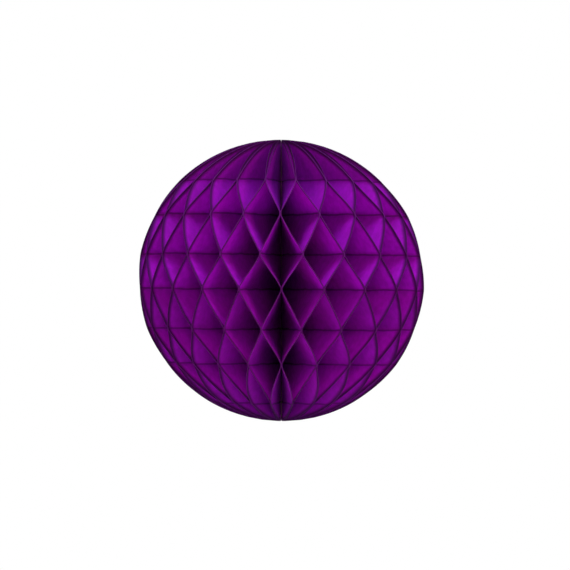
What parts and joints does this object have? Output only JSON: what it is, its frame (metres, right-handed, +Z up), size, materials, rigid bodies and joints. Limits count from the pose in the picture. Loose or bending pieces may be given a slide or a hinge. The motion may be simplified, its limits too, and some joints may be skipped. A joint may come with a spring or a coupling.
{
  "type": "paper honeycomb ball",
  "caption": "Round hanging decoration of pleated tissue half-discs glued in rows and bound along a spine, folding flat between two cover boards.",
  "frame": {"origin": "centre of the open ball, on the spine's axis at mid height", "axes": "+Z up along the spine, +Y to the back seam where the two cover boards meet, -Y the front"},
  "size_m": [0.1998, 0.1998, 0.1968],
  "materials": {
    "tissue": "matte, translucent purple tissue",
    "cover_card": "matte purple card",
    "adhesive_tape": "matte double-sided tape",
    "binding_thread": "twisted cotton thread",
    "dried_glue": "dried flexible glue, stained by the tissue"
  },
  "bodies": {
    "fixed_cover": {"cover_board_a": "cover_card", "closing_tapes": "adhesive_tape", "top_binding_thread": "binding_thread", "bottom_binding_thread": "binding_thread", "spine_glue": "dried_glue"},
    "sheet_01_body": {"sheet_01": "tissue"},
    "sheet_02_body": {"sheet_02": "tissue"},
    "sheet_03_body": {"sheet_03": "tissue"},
    "sheet_04_body": {"sheet_04": "tissue"},
    "sheet_05_body": {"sheet_05": "tissue"},
    "sheet_06_body": {"sheet_06": "tissue"},
    "sheet_07_body": {"sheet_07": "tissue"},
    "sheet_08_body": {"sheet_08": "tissue"},
    "sheet_09_body": {"sheet_09": "tissue"},
    "sheet_10_body": {"sheet_10": "tissue"},
    "sheet_11_body": {"sheet_11": "tissue"},
    "sheet_12_body": {"sheet_12": "tissue"},
    "sheet_13_body": {"sheet_13": "tissue"},
    "sheet_14_body": {"sheet_14": "tissue"},
    "sheet_15_body": {"sheet_15": "tissue"},
    "sheet_16_body": {"sheet_16": "tissue"},
    "sheet_17_body": {"sheet_17": "tissue"},
    "sheet_18_body": {"sheet_18": "tissue"},
    "sheet_19_body": {"sheet_19": "tissue"},
    "sheet_20_body": {"sheet_20": "tissue"},
    "sheet_21_body": {"sheet_21": "tissue"},
    "sheet_22_body": {"sheet_22": "tissue"},
    "sheet_23_body": {"sheet_23": "tissue"},
    "sheet_24_body": {"sheet_24": "tissue"},
    "sheet_25_body": {"sheet_25": "tissue"},
    "sheet_26_body": {"sheet_26": "tissue"},
    "sheet_27_body": {"sheet_27": "tissue"},
    "sheet_28_body": {"sheet_28": "tissue"},
    "sheet_29_body": {"sheet_29": "tissue"},
    "sheet_30_body": {"sheet_30": "tissue"},
    "sheet_31_body": {"sheet_31": "tissue"},
    "sheet_32_body": {"sheet_32": "tissue"},
    "sheet_33_body": {"sheet_33": "tissue"},
    "sheet_34_body": {"sheet_34": "tissue"},
    "sheet_35_body": {"sheet_35": "tissue"},
    "sheet_36_body": {"sheet_36": "tissue"},
    "sheet_37_body": {"sheet_37": "tissue"},
    "sheet_38_body": {"sheet_38": "tissue"},
    "sheet_39_body": {"sheet_39": "tissue"},
    "sheet_40_body": {"sheet_40": "tissue"},
    "sheet_41_body": {"sheet_41": "tissue"},
    "sheet_42_body": {"sheet_42": "tissue"},
    "sheet_43_body": {"sheet_43": "tissue"},
    "sheet_44_body": {"sheet_44": "tissue"},
    "moving_cover": {"cover_board_b": "cover_card"}
  },
  "joints": [
    {"name": "ball_fold", "type": "hinge", "parent": "fixed_cover", "child": "moving_cover", "pos_m": [0, 0, 0], "axis": [0, 0, 1], "range_deg": [-353, 0]},
    {"name": "sheet_01_fold", "type": "hinge", "parent": "fixed_cover", "child": "sheet_01_body", "pos_m": [0, 0, 0], "axis": [0, 0, 1], "range_deg": [-3.94, 0], "deforming": ["sheet_01"]},
    {"name": "sheet_02_fold", "type": "hinge", "parent": "fixed_cover", "child": "sheet_02_body", "pos_m": [0, 0, 0], "axis": [0, 0, 1], "range_deg": [-11.87, 0], "deforming": ["sheet_02"]},
    {"name": "sheet_03_fold", "type": "hinge", "parent": "fixed_cover", "child": "sheet_03_body", "pos_m": [0, 0, 0], "axis": [0, 0, 1], "range_deg": [-19.95, 0], "deforming": ["sheet_03"]},
    {"name": "sheet_04_fold", "type": "hinge", "parent": "fixed_cover", "child": "sheet_04_body", "pos_m": [0, 0, 0], "axis": [0, 0, 1], "range_deg": [-28.16, 0], "deforming": ["sheet_04"]},
    {"name": "sheet_05_fold", "type": "hinge", "parent": "fixed_cover", "child": "sheet_05_body", "pos_m": [0, 0, 0], "axis": [0, 0, 1], "range_deg": [-36.47, 0], "deforming": ["sheet_05"]},
    {"name": "sheet_06_fold", "type": "hinge", "parent": "fixed_cover", "child": "sheet_06_body", "pos_m": [0, 0, 0], "axis": [0, 0, 1], "range_deg": [-44.85, 0], "deforming": ["sheet_06"]},
    {"name": "sheet_07_fold", "type": "hinge", "parent": "fixed_cover", "child": "sheet_07_body", "pos_m": [0, 0, 0], "axis": [0, 0, 1], "range_deg": [-53.26, 0], "deforming": ["sheet_07"]},
    {"name": "sheet_08_fold", "type": "hinge", "parent": "fixed_cover", "child": "sheet_08_body", "pos_m": [0, 0, 0], "axis": [0, 0, 1], "range_deg": [-61.65, 0], "deforming": ["sheet_08"]},
    {"name": "sheet_09_fold", "type": "hinge", "parent": "fixed_cover", "child": "sheet_09_body", "pos_m": [0, 0, 0], "axis": [0, 0, 1], "range_deg": [-69.98, 0], "deforming": ["sheet_09"]},
    {"name": "sheet_10_fold", "type": "hinge", "parent": "fixed_cover", "child": "sheet_10_body", "pos_m": [0, 0, 0], "axis": [0, 0, 1], "range_deg": [-78.23, 0], "deforming": ["sheet_10"]},
    {"name": "sheet_11_fold", "type": "hinge", "parent": "fixed_cover", "child": "sheet_11_body", "pos_m": [0, 0, 0], "axis": [0, 0, 1], "range_deg": [-86.37, 0], "deforming": ["sheet_11"]},
    {"name": "sheet_12_fold", "type": "hinge", "parent": "fixed_cover", "child": "sheet_12_body", "pos_m": [0, 0, 0], "axis": [0, 0, 1], "range_deg": [-94.4, 0], "deforming": ["sheet_12"]},
    {"name": "sheet_13_fold", "type": "hinge", "parent": "fixed_cover", "child": "sheet_13_body", "pos_m": [0, 0, 0], "axis": [0, 0, 1], "range_deg": [-102.3, 0], "deforming": ["sheet_13"]},
    {"name": "sheet_14_fold", "type": "hinge", "parent": "fixed_cover", "child": "sheet_14_body", "pos_m": [0, 0, 0], "axis": [0, 0, 1], "range_deg": [-110.1, 0], "deforming": ["sheet_14"]},
    {"name": "sheet_15_fold", "type": "hinge", "parent": "fixed_cover", "child": "sheet_15_body", "pos_m": [0, 0, 0], "axis": [0, 0, 1], "range_deg": [-117.81, 0], "deforming": ["sheet_15"]},
    {"name": "sheet_16_fold", "type": "hinge", "parent": "fixed_cover", "child": "sheet_16_body", "pos_m": [0, 0, 0], "axis": [0, 0, 1], "range_deg": [-125.46, 0], "deforming": ["sheet_16"]},
    {"name": "sheet_17_fold", "type": "hinge", "parent": "fixed_cover", "child": "sheet_17_body", "pos_m": [0, 0, 0], "axis": [0, 0, 1], "range_deg": [-133.1, 0], "deforming": ["sheet_17"]},
    {"name": "sheet_18_fold", "type": "hinge", "parent": "fixed_cover", "child": "sheet_18_body", "pos_m": [0, 0, 0], "axis": [0, 0, 1], "range_deg": [-140.77, 0], "deforming": ["sheet_18"]},
    {"name": "sheet_19_fold", "type": "hinge", "parent": "fixed_cover", "child": "sheet_19_body", "pos_m": [0, 0, 0], "axis": [0, 0, 1], "range_deg": [-148.5, 0], "deforming": ["sheet_19"]},
    {"name": "sheet_20_fold", "type": "hinge", "parent": "fixed_cover", "child": "sheet_20_body", "pos_m": [0, 0, 0], "axis": [0, 0, 1], "range_deg": [-156.33, 0], "deforming": ["sheet_20"]},
    {"name": "sheet_21_fold", "type": "hinge", "parent": "fixed_cover", "child": "sheet_21_body", "pos_m": [0, 0, 0], "axis": [0, 0, 1], "range_deg": [-164.3, 0], "deforming": ["sheet_21"]},
    {"name": "sheet_22_fold", "type": "hinge", "parent": "fixed_cover", "child": "sheet_22_body", "pos_m": [0, 0, 0], "axis": [0, 0, 1], "range_deg": [-172.41, 0], "deforming": ["sheet_22"]},
    {"name": "sheet_23_fold", "type": "hinge", "parent": "fixed_cover", "child": "sheet_23_body", "pos_m": [0, 0, 0], "axis": [0, 0, 1], "range_deg": [-180.69, 0], "deforming": ["sheet_23"]},
    {"name": "sheet_24_fold", "type": "hinge", "parent": "fixed_cover", "child": "sheet_24_body", "pos_m": [0, 0, 0], "axis": [0, 0, 1], "range_deg": [-189.11, 0], "deforming": ["sheet_24"]},
    {"name": "sheet_25_fold", "type": "hinge", "parent": "fixed_cover", "child": "sheet_25_body", "pos_m": [0, 0, 0], "axis": [0, 0, 1], "range_deg": [-197.68, 0], "deforming": ["sheet_25"]},
    {"name": "sheet_26_fold", "type": "hinge", "parent": "fixed_cover", "child": "sheet_26_body", "pos_m": [0, 0, 0], "axis": [0, 0, 1], "range_deg": [-206.34, 0], "deforming": ["sheet_26"]},
    {"name": "sheet_27_fold", "type": "hinge", "parent": "fixed_cover", "child": "sheet_27_body", "pos_m": [0, 0, 0], "axis": [0, 0, 1], "range_deg": [-215.08, 0], "deforming": ["sheet_27"]},
    {"name": "sheet_28_fold", "type": "hinge", "parent": "fixed_cover", "child": "sheet_28_body", "pos_m": [0, 0, 0], "axis": [0, 0, 1], "range_deg": [-223.84, 0], "deforming": ["sheet_28"]},
    {"name": "sheet_29_fold", "type": "hinge", "parent": "fixed_cover", "child": "sheet_29_body", "pos_m": [0, 0, 0], "axis": [0, 0, 1], "range_deg": [-232.58, 0], "deforming": ["sheet_29"]},
    {"name": "sheet_30_fold", "type": "hinge", "parent": "fixed_cover", "child": "sheet_30_body", "pos_m": [0, 0, 0], "axis": [0, 0, 1], "range_deg": [-241.24, 0], "deforming": ["sheet_30"]},
    {"name": "sheet_31_fold", "type": "hinge", "parent": "fixed_cover", "child": "sheet_31_body", "pos_m": [0, 0, 0], "axis": [0, 0, 1], "range_deg": [-249.78, 0], "deforming": ["sheet_31"]},
    {"name": "sheet_32_fold", "type": "hinge", "parent": "fixed_cover", "child": "sheet_32_body", "pos_m": [0, 0, 0], "axis": [0, 0, 1], "range_deg": [-258.17, 0], "deforming": ["sheet_32"]},
    {"name": "sheet_33_fold", "type": "hinge", "parent": "fixed_cover", "child": "sheet_33_body", "pos_m": [0, 0, 0], "axis": [0, 0, 1], "range_deg": [-266.39, 0], "deforming": ["sheet_33"]},
    {"name": "sheet_34_fold", "type": "hinge", "parent": "fixed_cover", "child": "sheet_34_body", "pos_m": [0, 0, 0], "axis": [0, 0, 1], "range_deg": [-274.41, 0], "deforming": ["sheet_34"]},
    {"name": "sheet_35_fold", "type": "hinge", "parent": "fixed_cover", "child": "sheet_35_body", "pos_m": [0, 0, 0], "axis": [0, 0, 1], "range_deg": [-282.24, 0], "deforming": ["sheet_35"]},
    {"name": "sheet_36_fold", "type": "hinge", "parent": "fixed_cover", "child": "sheet_36_body", "pos_m": [0, 0, 0], "axis": [0, 0, 1], "range_deg": [-289.89, 0], "deforming": ["sheet_36"]},
    {"name": "sheet_37_fold", "type": "hinge", "parent": "fixed_cover", "child": "sheet_37_body", "pos_m": [0, 0, 0], "axis": [0, 0, 1], "range_deg": [-297.4, 0], "deforming": ["sheet_37"]},
    {"name": "sheet_38_fold", "type": "hinge", "parent": "fixed_cover", "child": "sheet_38_body", "pos_m": [0, 0, 0], "axis": [0, 0, 1], "range_deg": [-304.78, 0], "deforming": ["sheet_38"]},
    {"name": "sheet_39_fold", "type": "hinge", "parent": "fixed_cover", "child": "sheet_39_body", "pos_m": [0, 0, 0], "axis": [0, 0, 1], "range_deg": [-312.09, 0], "deforming": ["sheet_39"]},
    {"name": "sheet_40_fold", "type": "hinge", "parent": "fixed_cover", "child": "sheet_40_body", "pos_m": [0, 0, 0], "axis": [0, 0, 1], "range_deg": [-319.38, 0], "deforming": ["sheet_40"]},
    {"name": "sheet_41_fold", "type": "hinge", "parent": "fixed_cover", "child": "sheet_41_body", "pos_m": [0, 0, 0], "axis": [0, 0, 1], "range_deg": [-326.69, 0], "deforming": ["sheet_41"]},
    {"name": "sheet_42_fold", "type": "hinge", "parent": "fixed_cover", "child": "sheet_42_body", "pos_m": [0, 0, 0], "axis": [0, 0, 1], "range_deg": [-334.06, 0], "deforming": ["sheet_42"]},
    {"name": "sheet_43_fold", "type": "hinge", "parent": "fixed_cover", "child": "sheet_43_body", "pos_m": [0, 0, 0], "axis": [0, 0, 1], "range_deg": [-341.55, 0], "deforming": ["sheet_43"]},
    {"name": "sheet_44_fold", "type": "hinge", "parent": "fixed_cover", "child": "sheet_44_body", "pos_m": [0, 0, 0], "axis": [0, 0, 1], "range_deg": [-349.16, 0], "deforming": ["sheet_44"]}
  ],
  "couplings": [
    {"joint": "sheet_01_fold", "follows": "ball_fold", "ratio": 0.01112},
    {"joint": "sheet_02_fold", "follows": "ball_fold", "ratio": 0.033584},
    {"joint": "sheet_03_fold", "follows": "ball_fold", "ratio": 0.056475},
    {"joint": "sheet_04_fold", "follows": "ball_fold", "ratio": 0.079738},
    {"joint": "sheet_05_fold", "follows": "ball_fold", "ratio": 0.10329},
    {"joint": "sheet_06_fold", "follows": "ball_fold", "ratio": 0.12703},
    {"joint": "sheet_07_fold", "follows": "ball_fold", "ratio": 0.15084},
    {"joint": "sheet_08_fold", "follows": "ball_fold", "ratio": 0.17461},
    {"joint": "sheet_09_fold", "follows": "ball_fold", "ratio": 0.19822},
    {"joint": "sheet_10_fold", "follows": "ball_fold", "ratio": 0.22159},
    {"joint": "sheet_11_fold", "follows": "ball_fold", "ratio": 0.24466},
    {"joint": "sheet_12_fold", "follows": "ball_fold", "ratio": 0.26739},
    {"joint": "sheet_13_fold", "follows": "ball_fold", "ratio": 0.28978},
    {"joint": "sheet_14_fold", "follows": "ball_fold", "ratio": 0.31186},
    {"joint": "sheet_15_fold", "follows": "ball_fold", "ratio": 0.3337},
    {"joint": "sheet_16_fold", "follows": "ball_fold", "ratio": 0.35539},
    {"joint": "sheet_17_fold", "follows": "ball_fold", "ratio": 0.37703},
    {"joint": "sheet_18_fold", "follows": "ball_fold", "ratio": 0.39875},
    {"joint": "sheet_19_fold", "follows": "ball_fold", "ratio": 0.42065},
    {"joint": "sheet_20_fold", "follows": "ball_fold", "ratio": 0.44284},
    {"joint": "sheet_21_fold", "follows": "ball_fold", "ratio": 0.4654},
    {"joint": "sheet_22_fold", "follows": "ball_fold", "ratio": 0.48839},
    {"joint": "sheet_23_fold", "follows": "ball_fold", "ratio": 0.51183},
    {"joint": "sheet_24_fold", "follows": "ball_fold", "ratio": 0.5357},
    {"joint": "sheet_25_fold", "follows": "ball_fold", "ratio": 0.55996},
    {"joint": "sheet_26_fold", "follows": "ball_fold", "ratio": 0.58452},
    {"joint": "sheet_27_fold", "follows": "ball_fold", "ratio": 0.60927},
    {"joint": "sheet_28_fold", "follows": "ball_fold", "ratio": 0.63408},
    {"joint": "sheet_29_fold", "follows": "ball_fold", "ratio": 0.65882},
    {"joint": "sheet_30_fold", "follows": "ball_fold", "ratio": 0.68336},
    {"joint": "sheet_31_fold", "follows": "ball_fold", "ratio": 0.70757},
    {"joint": "sheet_32_fold", "follows": "ball_fold", "ratio": 0.73134},
    {"joint": "sheet_33_fold", "follows": "ball_fold", "ratio": 0.75461},
    {"joint": "sheet_34_fold", "follows": "ball_fold", "ratio": 0.77734},
    {"joint": "sheet_35_fold", "follows": "ball_fold", "ratio": 0.79952},
    {"joint": "sheet_36_fold", "follows": "ball_fold", "ratio": 0.8212},
    {"joint": "sheet_37_fold", "follows": "ball_fold", "ratio": 0.84245},
    {"joint": "sheet_38_fold", "follows": "ball_fold", "ratio": 0.86337},
    {"joint": "sheet_39_fold", "follows": "ball_fold", "ratio": 0.88408},
    {"joint": "sheet_40_fold", "follows": "ball_fold", "ratio": 0.90472},
    {"joint": "sheet_41_fold", "follows": "ball_fold", "ratio": 0.92543},
    {"joint": "sheet_42_fold", "follows": "ball_fold", "ratio": 0.94632},
    {"joint": "sheet_43_fold", "follows": "ball_fold", "ratio": 0.96752},
    {"joint": "sheet_44_fold", "follows": "ball_fold", "ratio": 0.98911}
  ]
}
